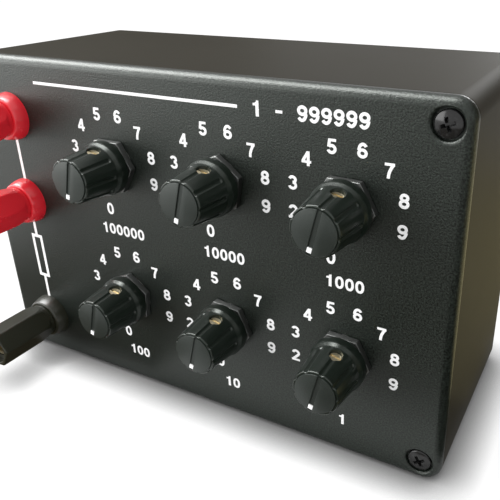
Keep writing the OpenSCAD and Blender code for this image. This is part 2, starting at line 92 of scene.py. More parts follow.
class DecadeBoxShapes(bpy.types.PropertyGroup):
    """Sizes of the finished pieces that the solids leave open, in millimetres."""

    lid_round: bpy.props.FloatProperty(
        name="Lid edge", description="Round-over of the lid's front edge", default=2.4, min=0.5, max=2.6)
    back_round: bpy.props.FloatProperty(
        name="Case edge", description="Round-over of the case's back edge", default=2.5, min=0.5, max=3)
    corner: bpy.props.FloatProperty(
        name="Corner", description="Radius of the four upright corners", default=5, min=3, max=9)
    seam: bpy.props.FloatProperty(
        name="Seam", description="Chamfer on both sides of the joint between lid and case", default=0.25)
    flutes: bpy.props.IntProperty(
        name="Knob flutes", description="Flutes around a knob's grip", default=9, min=3, max=18)
    flute_depth: bpy.props.FloatProperty(
        name="Flute depth", description="Depth of a flute in a knob's grip", default=0.36, min=0.1, max=0.5)
    post_flats: bpy.props.IntProperty(
        name="Post flats", description="Flats around a terminal cap", default=6, min=5, max=8)
    post_turn: bpy.props.FloatProperty(
        name="First post flat", default=33,
        description="Anticlockwise angle of a cap's first flat from the right, in degrees")
    digit_height: bpy.props.FloatProperty(
        name="Digit height", description="Height of the numbers around the dials", default=3.5, min=2, max=6)
    digit_weight: bpy.props.FloatProperty(
        name="Digit weight", description="Stroke of the numbers as a share of their height", default=0.205,
        min=0.1, max=0.25)
    digit_ring: bpy.props.FloatProperty(
        name="Digit ring", description="Radius of the ring of numbers", default=14.24, min=10, max=18)
    first_angle: bpy.props.FloatProperty(
        name="Zero position", description="Clockwise angle of zero from the top, in degrees", default=195)
    step_angle: bpy.props.FloatProperty(
        name="Step", description="Clockwise angle between two numbers, in degrees", default=30)
    ink_height: bpy.props.FloatProperty(
        name="Ink", description="Thickness of the printed ink", default=0.04, min=0.01, max=0.2)


def colour_setting(name, description, default):
    """Property that holds a colour."""
    return bpy.props.FloatVectorProperty(
        name=name, description=description, subtype="COLOR", size=3, default=default)


class DecadeBoxColours(bpy.types.PropertyGroup):
    """Base colours of the finishes."""

    case: colour_setting("Case", "Moulded case", (0.03, 0.026, 0.018))
    lid: colour_setting("Lid", "Satin lid", (0.005, 0.0098, 0.0062))
    knob: colour_setting("Knob", "Fluted knobs", (0.005, 0.0098, 0.0062))
    cap: colour_setting("Knob cap", "Discs in the knobs' fronts", (0.016, 0.021, 0.018))
    red: colour_setting("Red posts", "Upper terminals", (0.85, 0.02, 0.035))
    black: colour_setting("Black post", "Lower terminal", (0.02, 0.021, 0.012))
    brass: colour_setting("Brass", "Studs, sleeves and grub screws", (0.86, 0.75, 0.52))
    plating: colour_setting("Plating", "Washers, shafts and tags", (0.66, 0.66, 0.64))
    nut: colour_setting("Nuts", "Dark plating of the switch nuts", (0.16, 0.165, 0.16))
    ink: colour_setting("Ink", "Printed numbers and lines", (0.93, 0.93, 0.93))


class DecadeBoxStage(bpy.types.PropertyGroup):
    """Camera and lights."""

    place: bpy.props.FloatVectorProperty(
        name="Camera place", description="Where the camera stands", subtype="TRANSLATION", unit="LENGTH",
        size=3, default=(0.101525, -0.152287, 0.126188))
    aim: bpy.props.FloatVectorProperty(
        name="Camera turn", description="How the camera is turned", subtype="EULER", size=3,
        default=(math.radians(65.4494), math.radians(0.5654), math.radians(27.5935)))
    lens: bpy.props.FloatProperty(
        name="Lens", description="Focal length on a 36 mm wide sensor", default=44.664)
    shift: bpy.props.FloatVectorProperty(
        name="Shift", description="Sideways and upward shift of the lens", size=2,
        default=(-0.10978, -0.03232))
    sky: bpy.props.FloatProperty(
        name="Surroundings", description="Strength of the even light all round", default=0.85, min=0)
    window: bpy.props.FloatProperty(
        name="Window", description="Power of the long light at the upper left, in watts", default=3.0, min=0)
    fill: bpy.props.FloatProperty(
        name="Fill", description="Power of the broad light at the left front, in watts", default=12.0, min=0)
    gloss: bpy.props.FloatProperty(
        name="Gloss", default=16.0, min=0,
        description="Power of the broad light that only shows as highlights, in watts")
    back: bpy.props.FloatProperty(
        name="Back", description="Power of the highlight from behind, in watts", default=2.0, min=0)


def shapes():
    return bpy.context.scene.decade_box_shapes


def colours():
    return bpy.context.scene.decade_box_colours


def stage_settings():
    return bpy.context.scene.decade_box_stage


# Finishes


class Wire:
    """A shader value. Sums and products of wires and numbers add the Math nodes for them."""

    def __init__(self, finish, socket):
        self.finish = finish
        self.socket = socket

    def _math(self, operation, first, second):
        return self.finish.add("ShaderNodeMath", {"operation": operation}, {0: first, 1: second})

    def __add__(self, other):
        return self._math("ADD", self, other)

    def __radd__(self, other):
        return self._math("ADD", other, self)

    def __sub__(self, other):
        return self._math("SUBTRACT", self, other)

    def __rsub__(self, other):
        return self._math("SUBTRACT", other, self)

    def __mul__(self, other):
        return self._math("MULTIPLY", self, other)

    def __rmul__(self, other):
        return self._math("MULTIPLY", other, self)


class Finish:
    """One node material and the nodes that are added to it."""

    def __init__(self, name, tree=None):
        if tree is None:
            self.material = bpy.data.materials.new(name)
            self.material.use_nodes = True
            tree = self.material.node_tree
        self.tree = tree
        self.tree.nodes.clear()

    def add(self, kind, settings, inputs, out=0):
        """Adds a node, sets it up, then fills or links its sockets, and gives back one output."""
        node = self.tree.nodes.new(kind)
        for key, value in settings.items():
            if key == "stops":
                ramp = node.color_ramp
                while len(ramp.elements) < len(value):
                    ramp.elements.new(0.5)
                for element, (position, colour) in zip(ramp.elements, value):
                    element.position = position
                    element.color = colour
            else:
                setattr(node, key, value)
        for key, value in inputs.items():
            socket = node.inputs[key]
            if isinstance(value, Wire):
                self.tree.links.new(value.socket, socket)
            else:
                socket.default_value = value
        return Wire(self, node.outputs[out]) if node.outputs else None

    def place(self):
        """Place on the object, in metres."""
        return self.add("ShaderNodeTexCoord", {}, {}, "Object")

    def stretched(self, scale):
        """Place with its own scale along each axis."""
        return self.add("ShaderNodeMapping", {}, {"Vector": self.place(), "Scale": scale})

    def noise(self, scale, detail, vector=None):
        """Noise from 0 to 1, its scale in waves per metre."""
        return self.add(
            "ShaderNodeTexNoise", {},
            {"Vector": vector or self.place(), "Scale": scale, "Detail": detail, "Roughness": 0.55})

    def blend(self, share, first, second):
        """Colour between two colours."""
        return self.add(
            "ShaderNodeMix", {"data_type": "RGBA"},
            {"Factor": share, 6: first, 7: second}, 2)

    def ramp(self, value, stops):
        """Colour from a row of (position, colour) stops."""
        return self.add("ShaderNodeValToRGB", {"stops": stops}, {"Fac": value})

    def bump(self, height, strength, distance):
        """Normal of a fine relief."""
        return self.add(
            "ShaderNodeBump", {}, {"Height": height, "Strength": strength, "Distance": distance})

    def close(self, shader):
        """Joins a shader to the output and gives back the material."""
        self.add("ShaderNodeOutputMaterial", {}, {"Surface": shader})
        return self.material

    def surface(self, inputs):
        """Material of one Principled shader."""
        return self.close(self.add("ShaderNodeBsdfPrincipled", {}, inputs))


def opaque(colour, level=1.0):
    """Colour with a full alpha, made lighter or darker by a level."""
    return tuple(min(1.0, c * level) for c in colour) + (1.0,)


def satin_moulding(name, colour, rough, grain_scale, grain_height, gloss=0.5, speckle=0.2):
    """Moulded plastic: a fine spark grain, faint clouds of gloss and a little dust."""
    finish = Finish(name)
    grain = finish.noise(grain_scale, 3.0)
    cloud = finish.noise(38.0, 3.0)
    speck = finish.ramp(grain, [(0.36, (0, 0, 0, 1)), (0.66, (1, 1, 1, 1))])
    tone = finish.blend(cloud, opaque(colour, 0.85), opaque(colour, 1.15))
    dusted = finish.blend(
        speck, finish.blend(speckle, tone, (0, 0, 0, 1)),
        finish.blend(speckle * 0.035, tone, (0.45, 0.5, 0.45, 1.0)))
    return finish.surface({
        "Base Color": dusted,
        "Roughness": rough - 0.05 + cloud * 0.06 + grain * 0.06,
        "Specular IOR Level": gloss,
        "Specular Tint": (0.95, 1.0, 0.95, 1.0),
        "Normal": finish.bump(grain, 0.35, grain_height),
    })


def polished_moulding(name, colour, rough, coat):
    """Glossy coloured plastic with soft flow marks."""
    finish = Finish(name)
    flow = finish.noise(90.0, 3.0)
    fine = finish.noise(1400.0, 2.0)
    return finish.surface({
        "Base Color": finish.blend(flow, opaque(colour, 0.9), opaque(colour, 1.08)),
        "Roughness": rough + flow * 0.08 + fine * 0.04,
        "Specular IOR Level": 0.55,
        "Coat Weight": coat,
        "Coat Roughness": 0.08,
        "Normal": finish.bump(flow * 0.7 + fine * 0.3, 0.2, 0.00004),
    })


def turned_metal(name, colour, rough, tarnish):
    """Turned or plated metal with tool marks around the axis and a little tarnish."""
    finish = Finish(name)
    marks = finish.noise(1.0, 2.0, finish.stretched((260.0, 5200.0, 260.0)))
    cloud = finish.noise(160.0, 3.0)
    return finish.surface({
        "Base Color": finish.blend(cloud * tarnish, opaque(colour), opaque(colour, 0.45)),
        "Metallic": 1.0,
        "Roughness": rough + marks * 0.14 + cloud * 0.1,
        "Normal": finish.bump(marks, 0.25, 0.00003),
    })


def printed_ink():
    """White screen print, slightly uneven."""
    finish = Finish("screen_print")
    cloud = finish.noise(420.0, 3.0)
    return finish.surface({
        "Base Color": finish.blend(cloud, opaque(colours().ink, 0.95), opaque(colours().ink)),
        "Roughness": 0.5 + cloud * 0.12,
        "Normal": finish.bump(finish.noise(3200.0, 2.0), 0.2, 0.00001),
    })


def black_oxide():
    """Blackened screw steel, worn brighter in spots."""
    finish = Finish("screw_black")
    wear = finish.ramp(finish.noise(900.0, 4.0), [(0.55, (0, 0, 0, 1)), (0.8, (1, 1, 1, 1))])
    return finish.surface({
        "Base Color": finish.blend(wear * 0.3, (0.012, 0.012, 0.012, 1), (0.09, 0.09, 0.09, 1)),
        "Roughness": 0.16 + wear * 0.12,
        "Specular IOR Level": 0.4,
        "Normal": finish.bump(finish.noise(1500.0, 2.0), 0.15, 0.00003),
    })


def laminate():
    """Brown paper laminate of the switch housings and wafers."""
    finish = Finish("switch_laminate")
    fibre = finish.noise(1.0, 4.0, finish.stretched((2600.0, 300.0, 700.0)))
    cloud = finish.noise(120.0, 2.0)
    return finish.surface({
        "Base Color": finish.blend(fibre, (0.16, 0.085, 0.035, 1), (0.3, 0.17, 0.075, 1)),
        "Roughness": 0.42 + cloud * 0.12,
        "Normal": finish.bump(fibre, 0.2, 0.00004),
    })


def lacquer():
    """Blue resistor lacquer with colour bands across the resistors that stand on the wafers."""
    finish = Finish("resistor_lacquer")
    low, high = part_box("decade_resistors")
    along = finish.add("ShaderNodeSeparateXYZ", {}, {"Vector": finish.place()}, "Y")
    share = (along - low.y) * (1.0 / (high.y - low.y))
    blue, brown = (0.1, 0.25, 0.36, 1), (0.12, 0.04, 0.015, 1)
    black, gold = (0.01, 0.01, 0.01, 1), (0.4, 0.28, 0.08, 1)
    banded = finish.ramp(share, [
        (0.0, blue), (0.28, brown), (0.34, blue), (0.4, black), (0.46, blue), (0.52, brown), (0.58, blue),
        (0.72, gold), (0.78, blue)])
    banded.socket.node.color_ramp.interpolation = "CONSTANT"
    grain = finish.noise(800.0, 2.0)
    return finish.surface({
        "Base Color": banded,
        "Roughness": 0.3 + grain * 0.1,
        "Normal": finish.bump(grain, 0.2, 0.00003),
    })


def insulation(name, colour):
    """Soft wire insulation."""
    finish = Finish(name)
    grain = finish.noise(1100.0, 3.0)
    return finish.surface({
        "Base Color": finish.blend(grain, opaque(colour, 0.85), opaque(colour, 1.1)),
        "Roughness": 0.42 + grain * 0.12,
        "Normal": finish.bump(grain, 0.2, 0.00003),
    })


_finishes = {}


def finish_of(slot):
    """Material for a slot of the record, or for the print or the nuts, made on first use."""
    if slot not in _finishes:
        c = colours()
        makers = {
            "case_plastic": lambda: satin_moulding("case_plastic", c.case, 0.54, 2600.0, 0.00004, 0.06, 0.2),
            "lid_plastic": lambda: satin_moulding("lid_plastic", c.lid, 0.36, 2300.0, 0.0003, 0.42, 0.9),
            "knob_plastic": lambda: satin_moulding("knob_plastic", c.knob, 0.3, 3400.0, 0.00002),
            "cap_plastic": lambda: satin_moulding("cap_plastic", c.cap, 0.4, 3000.0, 0.00002, 0.4),
            "post_red": lambda: polished_moulding("post_red", c.red, 0.2, 0.25),
            "post_black": lambda: polished_moulding("post_black", c.black, 0.26, 0.0),
            "brass": lambda: turned_metal("brass", c.brass, 0.2, 0.3),
            "plated_steel": lambda: turned_metal("plated_steel", c.plating, 0.24, 0.3),
            "nut_plating": lambda: turned_metal("nut_plating", c.nut, 0.3, 0.3),
            "screw_black": black_oxide,
            "board": laminate,
            "resistor_lacquer": lacquer,
            "wire_red": lambda: insulation("wire_red", (0.5, 0.02, 0.02)),
            "wire_black": lambda: insulation("wire_black", (0.015, 0.015, 0.015)),
            "screen_print": printed_ink,
        }
        _finishes[slot] = makers[slot]()
    return _finishes[slot]


# Shaping


def spun(points, steps, cuts=None, closed=False):
    """Turned shape from a profile of (radius, height) points. cuts adds rings between two of them."""
    bm = bmesh.new()
    verts = [bm.verts.new((r, 0, h)) for r, h in points]
    ends = verts[1:] + verts[:1] if closed else verts[1:]
    edges = [bm.edges.new(pair) for pair in zip(verts, ends)]
    for index, count in (cuts or {}).items():
        bmesh.ops.subdivide_edges(bm, edges=[edges[index]], cuts=count)
    bmesh.ops.spin(
        bm, geom=bm.verts[:] + bm.edges[:], cent=(0, 0, 0), axis=(0, 0, 1), angle=math.tau,
        steps=steps, use_merge=True)
    bmesh.ops.remove_doubles(bm, verts=bm.verts, dist=1e-4)
    bmesh.ops.recalc_face_normals(bm, faces=bm.faces)
    return bm


def soften(bm, edges, width, segments):
    """Rounds edges."""
    bmesh.ops.bevel(
        bm, geom=edges, offset=width, offset_type="OFFSET", segments=segments, profile=0.5,
        affect="EDGES", clamp_overlap=True, material=-1)


def soften_ring(bm, radius, height, width, segments):
    """Rounds the ring of edges at one corner of a turned shape."""
    def here(v):
        return abs(v.co.xy.length - radius) < 2e-3 and abs(v.co.z - height) < 2e-3
    soften(bm, [e for e in bm.edges if here(e.verts[0]) and here(e.verts[1])], width, segments)


def pull(bm, faces, height, keep=True):
    """Extrudes faces along z. keep leaves the old faces as the far side."""
    grown = bmesh.ops.extrude_face_region(bm, geom=faces)
    if not keep:
        bmesh.ops.delete(bm, geom=faces, context="FACES_ONLY")
    verts = [g for g in grown["geom"] if isinstance(g, bmesh.types.BMVert)]
    bmesh.ops.translate(bm, vec=(0, 0, height), verts=verts)


def relax(bm, verts):
    """Smooths vertices by one step."""
    bmesh.ops.smooth_vert(bm, verts=verts, factor=0.5, use_axis_x=True, use_axis_y=True, use_axis_z=True)


def rounded_plate(front, back, corner, front_round, back_round):
    """Plate with the box's outline between two heights, its rims rounded."""
    bm = bmesh.new()
    bmesh.ops.create_grid(bm, x_segments=1, y_segments=1, size=0.5)
    bmesh.ops.scale(bm, vec=(BOX_W, BOX_H, 1), verts=bm.verts)
    bmesh.ops.translate(bm, vec=(0, BOX_H / 2, front), verts=bm.verts)
    bmesh.ops.bevel(
        bm, geom=bm.verts[:], offset=corner, offset_type="OFFSET", segments=14, profile=0.5,
        affect="VERTICES", clamp_overlap=True, material=-1)
    pull(bm, bm.faces[:], back - front)
    bmesh.ops.recalc_face_normals(bm, faces=bm.faces)
    for height, width in ((front, front_round), (back, back_round)):
        rim = [e for e in bm.edges if all(abs(v.co.z - height) < 1e-4 for v in e.verts)]
        soften(bm, rim, width, 7 if width > 1 else 2)
    return bm


def added(name, data):
    """New object in the scene."""
    obj = bpy.data.objects.new(name, data)
    bpy.context.scene.collection.objects.link(obj)
    return obj


def to_mesh(name, bm):
    """Mesh from a bmesh, which is freed."""
    mesh = bpy.data.meshes.new(name)
    bm.to_mesh(mesh)
    bm.free()
    return mesh


def stamp(bm, mesh, matrix):
    """Adds a copy of a mesh, moved by a matrix."""
    copy = mesh.copy()
    copy.transform(matrix)
    bm.from_mesh(copy)
    bpy.data.meshes.remove(copy)


def carved(bm, cutter):
    """The first shape without the second."""
    pair = [added("blank", to_mesh("blank", bm)), added("cutter", to_mesh("cutter", cutter))]
    cut = pair[0].modifiers.new("cut", "BOOLEAN")
    cut.operation = "DIFFERENCE"
    cut.solver = "EXACT"
    cut.use_self = True
    cut.object = pair[1]
    graph = bpy.context.evaluated_depsgraph_get()
    result = bmesh.new()
    result.from_object(pair[0], graph)
    for obj in pair:
        mesh = obj.data
        bpy.data.objects.remove(obj)
        bpy.data.meshes.remove(mesh)
    bmesh.ops.remove_doubles(result, verts=result.verts, dist=1e-5)
    return result


def drill(bm, point, radius, low, high, segments):
    """Adds a round rod between two heights, to cut a hole with."""
    bmesh.ops.create_cone(
        bm, cap_ends=True, segments=segments, radius1=radius, radius2=radius, depth=high - low,
        matrix=Matrix.Translation((point[0], point[1], (low + high) / 2)))


def block(bm, middle, size, turn=0.0):
    """Box on the panel, turned about its own upright."""
    made = bmesh.ops.create_cube(
        bm, size=1.0,
        matrix=Matrix.Translation(middle) @ Matrix.Rotation(turn, 4, "Z") @ Matrix.Diagonal((*size, 1)))
    return made["verts"]


def finished(name, bm, slot, body, nodes=(), at=None, angle=32.0, material=None):
    """Piece of the box from a shape on the panel's plane."""
    move = PANEL if at is None else PANEL @ Matrix.Translation(at)
    bmesh.ops.transform(bm, matrix=move, verts=bm.verts)
    return piece(name, to_mesh(name, bm), slot, body, nodes, angle, material)


def piece(name, mesh, slot, body, nodes, angle, material):
    """Object that rides on a body and stands in for nodes. Edges over the angle stay sharp."""
    for polygon in mesh.polygons:
        polygon.use_smooth = True
    mesh.set_sharp_from_angle(angle=math.radians(angle))
    mesh.materials.append(finish_of(material or slot))
    obj = added(name, mesh)
    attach(obj, body)
    if nodes:
        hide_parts(*nodes)
    return obj


def off_middle(v, count, first):
    """Angle of a vertex from the middle of the nearest of count equal sectors."""
    step = math.tau / count
    return (math.atan2(v.co.y, v.co.x) - first + step / 2) % step - step / 2


def flute(bm, count, first, depth, radius, foot, floor, low, solid, lean):
    """Sinks round-ended flutes into a turned grip that narrows by lean. The radius solid stays as it is."""
    start = low + math.sqrt(radius ** 2 - (radius - depth) ** 2)
    for v in bm.verts:
        r = v.co.xy.length
        if r < solid or v.co.z < floor:
            continue
        grip = foot - lean * (v.co.z - low)
        axis = grip - depth + radius
        turn = off_middle(v, count, first)
        reach = radius ** 2 - max(0.0, start - v.co.z) ** 2 - (axis * math.sin(turn)) ** 2
        if reach > 0:
            sunk = max(0.0, grip - axis * math.cos(turn) + math.sqrt(reach))
            share = min(1.0, (r - solid) / (grip - depth - solid))
            v.co.xy *= (r - sunk * share) / r


def flatten(bm, count, first, flat, grip, solid, front):
    """Works flats into a turned cap of the radius grip. Past front, its face is drawn in outside solid."""
    for v in bm.verts:
        r = v.co.xy.length
        if r <= solid:
            continue
        limit = min(grip, flat / math.cos(off_middle(v, count, first)))
        fresh = solid + (r - solid) * (limit - solid) / (grip - solid) if v.co.z > front else min(r, limit)
        v.co.xy *= fresh / r


def flat_shaded(obj):
    """Keeps the shading of large flats even up to their rounded rims."""
    even = obj.modifiers.new("even", "WEIGHTED_NORMAL")
    even.keep_sharp = True


def clock_point(degrees, radius):
    """Point on a ring, its angle counted clockwise from the top."""
    turn = math.radians(degrees)
    return Vector((radius * math.sin(turn), radius * math.cos(turn)))


# Case and lid


CASE_WALL = 2.5
BUSH_HOLE = 5.06
POST_HOLE = 4.06
SCREW_HOLE = 1.7
SCREW_HEAD = 3.1
RECESS_FLOOR = -1.6
RECESS, RECESS_LIP = 3.5, 0.8
SCREW_TURNS = (18, 55, 33, 20)
# How far a cutter runs past what it cuts
OVERRUN = 1.0


class DECADEBOX_OT_case(bpy.types.Operator):
    """Moulded case: a rounded shell with a small chamfer at its mouth"""

    bl_idname = "decade_box.case"
    bl_label = "Case"

    def execute(self, context):
        s = shapes()
        bm = rounded_plate(LID_BACK, CASE_BACK, s.corner, s.seam, s.back_round)
        mouth = max(bm.faces, key=lambda f: f.calc_center_median().z)
        bmesh.ops.inset_region(bm, faces=[mouth], thickness=CASE_WALL - s.seam, use_even_offset=True)
        pull(bm, [mouth], CASE_BACK + CASE_WALL - LID_BACK, keep=False)
        flat_shaded(finished("case_shell", bm, "case_plastic", "box", ["case_body"]))
        return {"FINISHED"}


class DECADEBOX_OT_lid(bpy.types.Operator):
    """Lid plate with rounded front edges, screw recesses and the holes for switches and posts"""

    bl_idname = "decade_box.lid"
    bl_label = "Lid"

    def execute(self, context):
        s = shapes()
        bm = rounded_plate(0.0, LID_BACK, s.corner, s.lid_round, s.seam)
        sunk = to_mesh("recess", recess_shape())
        cutter = bmesh.new()
        for point in screw_places():
            stamp(cutter, sunk, Matrix.Translation(point.to_3d()))
            drill(cutter, point, SCREW_HOLE, LID_BACK - OVERRUN, -OVERRUN, 32)
        bpy.data.meshes.remove(sunk)
        for decade in DECADES:
            drill(cutter, on_panel("knob_" + decade), BUSH_HOLE, LID_BACK - OVERRUN, OVERRUN, 48)
        for post in POSTS:
            drill(cutter, on_panel("post_collar_" + post), POST_HOLE, LID_BACK - OVERRUN, OVERRUN, 48)
        bm = carved(bm, cutter)
        flat_shaded(finished("lid_plate", bm, "lid_plastic", "box", ["front_lid"]))
        return {"FINISHED"}


def recess_shape(steps=6):
    """Cutter of a screw recess, its mouth rounded."""
    turns = [math.pi * (1.0 - 0.5 * k / steps) for k in range(steps + 1)]
    mouth = [(RECESS + RECESS_LIP * (1.0 + math.cos(a)), RECESS_LIP * (math.sin(a) - 1.0)) for a in turns]
    foot = [(0, RECESS_FLOOR), (RECESS, RECESS_FLOOR)]
    return spun(foot + mouth + [(RECESS + RECESS_LIP, OVERRUN), (0, OVERRUN)], 72)


def screw_places():
    """Middles of the four lid screws on the panel."""
    low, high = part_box("lid_screws")
    xs = (low.x / MM + SCREW_HEAD, high.x / MM - SCREW_HEAD)
    ys = ((low.z - LID_LOW.z) / MM + SCREW_HEAD, (high.z - LID_LOW.z) / MM - SCREW_HEAD)
    return [Vector((x, y)) for x in xs for y in ys]


class DECADEBOX_OT_lid_screws(bpy.types.Operator):
    """Domed cross-recess screws in the lid's corners"""

    bl_idname = "decade_box.lid_screws"
    bl_label = "Lid screws"

    def execute(self, context):
        end, shank, top, rim, rings = -15.6, 1.5, 0.05, -0.6, 8
        shares = [1.0 - k / rings for k in range(rings + 1)]
        dome = [(SCREW_HEAD * r, top - (top - rim) * r ** 2) for r in shares]
        foot = [(0, end), (1.1, end), (shank, end + 0.6), (shank, RECESS_FLOOR), (SCREW_HEAD, RECESS_FLOOR)]
        head = spun(foot + dome, 72)
        soften_ring(head, SCREW_HEAD, rim, 0.25, 3)
        middle, taper = -0.5, 0.55
        for turn in (0, 90):
            arm = bmesh.new()
            for v in block(arm, (0, 0, middle), (3.7, 0.95, 1.6), math.radians(turn)):
                if v.co.z < middle:
                    v.co.xy *= taper
            head = carved(head, arm)
        one = to_mesh("screw", head)
        bm = bmesh.new()
        for turn, point in zip(SCREW_TURNS, screw_places()):
            stamp(bm, one, Matrix.Translation(point.to_3d()) @ Matrix.Rotation(math.radians(turn), 4, "Z"))
        bpy.data.meshes.remove(one)
        finished("corner_screws", bm, "screw_black", "box", ["lid_screws"], angle=28.0)
        return {"FINISHED"}


# Knobs


KNOB_FOOT, KNOB_TIP = 6.95, 6.05
KNOB_WAIST, KNOB_FRONT = 6.0, 16.0
KNOB_LEAN = (KNOB_FOOT - KNOB_TIP) / (KNOB_FRONT - KNOB_WAIST)
SKIRT, SKIRT_BACK, SKIRT_FRONT = 7.5, 2.4, 4.8
SHAFT_HOLE, SHAFT_END = 3.04, 12.94
BUSH_ROOM, BUSH_END = 5.45, 3.0
CAP_SEAT = 15.3
CAP_FRONT = 16.3
CAP_RADIUS = 5.4
GRUB_HEIGHT = 8.1


def pointer_tail():
    """Angle of the end of a knob's groove that points away from its number."""
    return math.radians(90 - shapes().first_angle + 180)


def knob_shape():
    """Fluted knob that narrows to its front, with a shouldered skirt and a hole for its grub screw."""
    s = shapes()
    seat = CAP_RADIUS + 0.05
    half = 5.0
    profile = [
        (0, SHAFT_END), (SHAFT_HOLE, SHAFT_END), (SHAFT_HOLE, BUSH_END), (BUSH_ROOM, BUSH_END),
        (BUSH_ROOM, SKIRT_BACK), (SKIRT, SKIRT_BACK), (SKIRT, SKIRT_FRONT), (KNOB_FOOT, KNOB_WAIST),
        (KNOB_FOOT - half * KNOB_LEAN, KNOB_WAIST + half), (KNOB_TIP, KNOB_FRONT), (seat, KNOB_FRONT),
        (seat, CAP_SEAT), (0, CAP_SEAT)]
    bm = spun(profile, 48 * s.flutes, {6: 5, 7: 36, 8: 7})
    soften_ring(bm, SKIRT, SKIRT_BACK, 0.2, 3)
    soften_ring(bm, SKIRT, SKIRT_FRONT, 0.2, 4)
    soften_ring(bm, KNOB_TIP, KNOB_FRONT, 0.25, 4)
    soften_ring(bm, seat, KNOB_FRONT, 0.06, 2)
    tail, inset, radius = pointer_tail(), 0.4, 0.8
    low = KNOB_WAIST + inset
    foot = KNOB_FOOT - inset * KNOB_LEAN
    flute(bm, s.flutes, tail, s.flute_depth, radius, foot, low - 0.3, low, seat + 0.08, KNOB_LEAN)
    relax(bm, [v for v in bm.verts if v.co.xy.length > seat + 0.1 and v.co.z > SKIRT_FRONT + 0.5])
    bore_grub_hole(bm, tail)
    return bm


def bore_grub_hole(bm, tail):
    """Sinks the stepped hole that the grub screw stands in."""
    mouth, seat, edge, floor, bottom, core = 1.8, 1.54, 0.08, 6.04, 3.2, 5.0
    out = Vector((math.cos(tail), math.sin(tail)))
    side = Vector((-out.y, out.x))
    for v in bm.verts:
        depth, across, up = v.co.xy.dot(out), v.co.xy.dot(side), v.co.z - GRUB_HEIGHT
        spread = math.hypot(across, up)
        if depth < core or spread > mouth + edge or spread < 1e-6:
            continue
        if spread > mouth - edge:
            fresh = mouth
        elif abs(spread - seat) < edge:
            fresh, depth = seat, floor
        else:
            fresh, depth = spread, floor if spread > seat else bottom
        across, up = across * fresh / spread, up * fresh / spread
        v.co.xy = out * depth + side * across
        v.co.z = GRUB_HEIGHT + up


class DECADEBOX_OT_knobs(bpy.types.Operator):
    """Six fluted knobs"""

    bl_idname = "decade_box.knobs"
    bl_label = "Knobs"

    def execute(self, context):
        master = to_mesh("knob_master", knob_shape())
        for decade in DECADES:
            point = on_panel("knob_" + decade)
            bm = bmesh.new()
            bm.from_mesh(master)
            finished("grip_" + decade, bm, "knob_plastic", "decade_" + decade, ["knob_" + decade],
                     point.to_3d(), 40.0)
        bpy.data.meshes.remove(master)
        return {"FINISHED"}


def cap_shape(width, depth, tail):
    """Disc with a groove across its face."""
    bm = bmesh.new()
    bmesh.ops.create_circle(bm, cap_ends=True, segments=128, radius=CAP_RADIUS)
    bmesh.ops.rotate(bm, cent=(0, 0, 0), matrix=Matrix.Rotation(tail, 3, "Z"), verts=bm.verts)
    bmesh.ops.translate(bm, vec=(0, 0, CAP_FRONT), verts=bm.verts)
    side = Vector((-math.sin(tail), math.cos(tail), 0))
    for edge in (side * (-width / 2), side * (width / 2)):
        bmesh.ops.bisect_plane(bm, geom=bm.verts[:] + bm.edges[:] + bm.faces[:], plane_co=edge, plane_no=side)
    groove = [f for f in bm.faces if abs(f.calc_center_median().dot(side)) < width / 4]
    pull(bm, groove, -depth, keep=False)
    wall = bmesh.ops.extrude_edge_only(bm, edges=[e for e in bm.edges if e.is_boundary])
    for v in wall["geom"]:
        if isinstance(v, bmesh.types.BMVert):
            v.co.z = CAP_SEAT
    bmesh.ops.remove_doubles(bm, verts=bm.verts, dist=1e-5)
    bmesh.ops.holes_fill(bm, edges=[e for e in bm.edges if e.is_boundary], sides=0)
    bmesh.ops.recalc_face_normals(bm, faces=bm.faces)
    rims = [e for e in bm.edges if all(v.co.z > CAP_FRONT - 1e-4 for v in e.verts)
            and len(e.link_faces) == 2 and e.calc_face_angle() > math.radians(40)]
    soften(bm, rims, 0.07, 2)
    return bm


class DECADEBOX_OT_knob_caps(bpy.types.Operator):
    """Grey discs in the knobs' fronts, each with a groove and a white dot at its pointing end"""

    bl_idname = "decade_box.knob_caps"
    bl_label = "Knob caps"

    width: bpy.props.FloatProperty(name="Groove", description="Width of the groove", default=1.2)
    depth: bpy.props.FloatProperty(name="Depth", description="Depth of the groove", default=0.3)
    dot_ring: bpy.props.FloatProperty(
        name="Dot place", description="Distance of the dot from the knob's middle", default=4.4)
    dot_length: bpy.props.FloatProperty(name="Dot length", description="Length of the dot", default=1.25)

    def execute(self, context):
        tail, proud = pointer_tail(), 0.02
        dot = clock_point(shapes().first_angle, self.dot_ring)
        middle = (dot.x, dot.y, CAP_FRONT - self.depth / 2 + proud)
        size = (self.dot_length, self.width, self.depth + 2 * proud)
        for decade in DECADES:
            at = on_panel("knob_" + decade).to_3d()
            body = "decade_" + decade
            finished("disc_" + decade, cap_shape(self.width, self.depth, tail), "cap_plastic", body,
                     ["knob_cap_" + decade], at)
            bm = bmesh.new()
            block(bm, middle, size, tail)
            soften(bm, [e for e in bm.edges if min(v.co.z for v in e.verts) > CAP_FRONT], 0.1, 2)
            finished("dot_" + decade, bm, "cap_plastic", body, (), at, material="screen_print")
        return {"FINISHED"}


# Switch nuts


NUT_TURNS = (0, 22, 59, 24, 53, 57)


